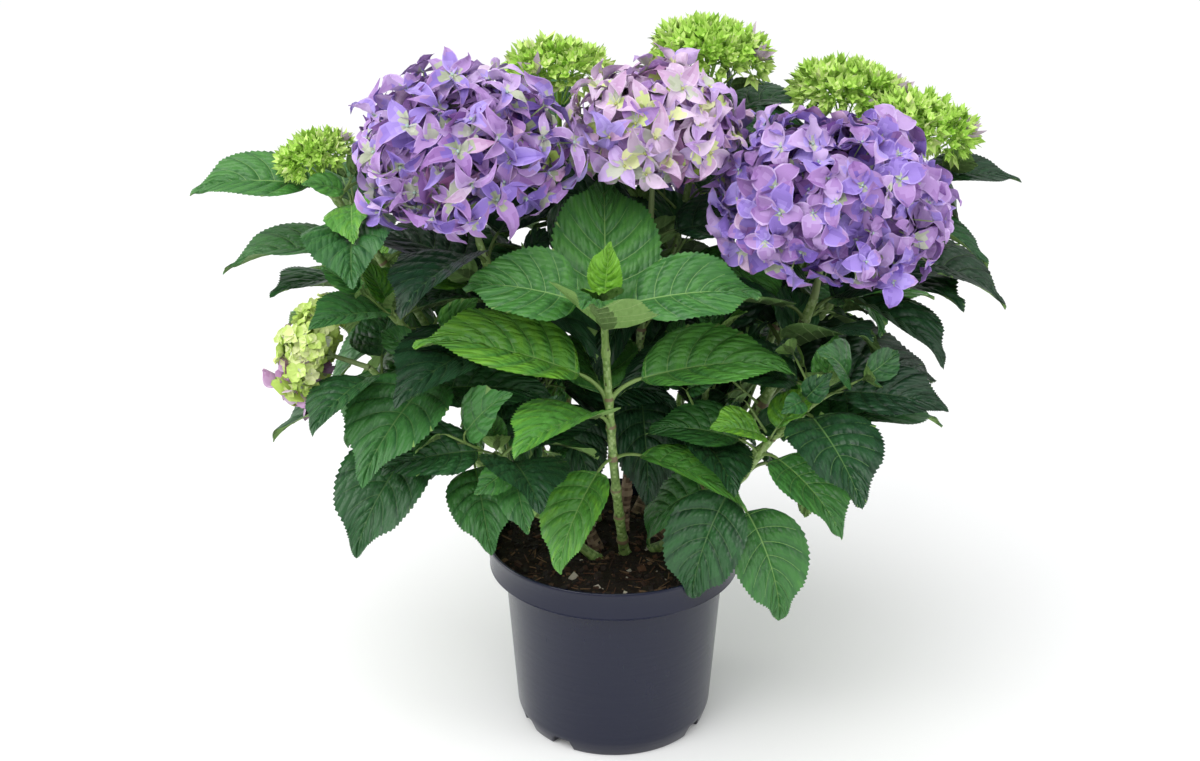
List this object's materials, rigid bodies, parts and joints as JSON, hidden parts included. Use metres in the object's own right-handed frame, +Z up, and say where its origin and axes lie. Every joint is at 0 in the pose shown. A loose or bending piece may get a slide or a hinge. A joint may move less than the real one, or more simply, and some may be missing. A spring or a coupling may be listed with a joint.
{
  "type": "potted hydrangea shrub",
  "caption": "Bushy mophead hydrangea in a round plastic nursery pot: bare stems, broad toothed leaves in pairs, violet and pink domed flower heads and green clusters of buds.",
  "frame": {"origin": "centre of the pot's underside, on the ground", "axes": "+Z up, -Y the side seen in the picture, +X to its right"},
  "size_m": [0.7083, 0.5357, 0.6109],
  "materials": {
    "pot": "smooth, satin",
    "compost": "crumbly, fibrous",
    "bark": "brown bark with rings",
    "green_stem": "smooth, flecked",
    "foliage": "satin, quilted between the veins",
    "petals": "soft, matt",
    "buds": "soft, matt"
  },
  "bodies": {
    "root": {"bloom_back_left": "petals", "bloom_back_right": "petals", "bloom_left": "petals", "bloom_middle": "petals", "bloom_right": "petals", "buds_back_left_upper": "buds", "buds_back_right_upper": "buds", "buds_left_low": "buds", "buds_left_upper": "buds", "buds_right_back": "buds", "buds_right_upper": "buds", "compost": "compost", "leaves_back": "foliage", "leaves_back_left": "foliage", "leaves_back_left_upper": "foliage", "leaves_back_right": "foliage", "leaves_back_right_upper": "foliage", "leaves_front": "foliage", "leaves_inner_back": "foliage", "leaves_inner_left": "foliage", "leaves_inner_right": "foliage", "leaves_left": "foliage", "leaves_left_bottom": "foliage", "leaves_left_low": "foliage", "leaves_left_middle": "foliage", "leaves_left_side": "foliage", "leaves_left_upper": "foliage", "leaves_middle": "foliage", "leaves_right": "foliage", "leaves_right_back": "foliage", "leaves_right_low": "foliage", "leaves_right_middle": "foliage", "leaves_right_side": "foliage", "leaves_right_upper": "foliage", "pot": "pot", "stem_back": "green_stem", "stem_back_left": "bark", "stem_back_left_upper": "green_stem", "stem_back_right": "bark", "stem_back_right_upper": "green_stem", "stem_front": "green_stem", "stem_inner_back": "green_stem", "stem_inner_left": "green_stem", "stem_inner_right": "green_stem", "stem_left": "bark", "stem_left_bottom": "green_stem", "stem_left_low": "green_stem", "stem_left_middle": "green_stem", "stem_left_side": "green_stem", "stem_left_upper": "green_stem", "stem_middle": "bark", "stem_right": "bark", "stem_right_back": "green_stem", "stem_right_low": "green_stem", "stem_right_middle": "green_stem", "stem_right_side": "green_stem", "stem_right_upper": "green_stem"}
  },
  "joints": []
}
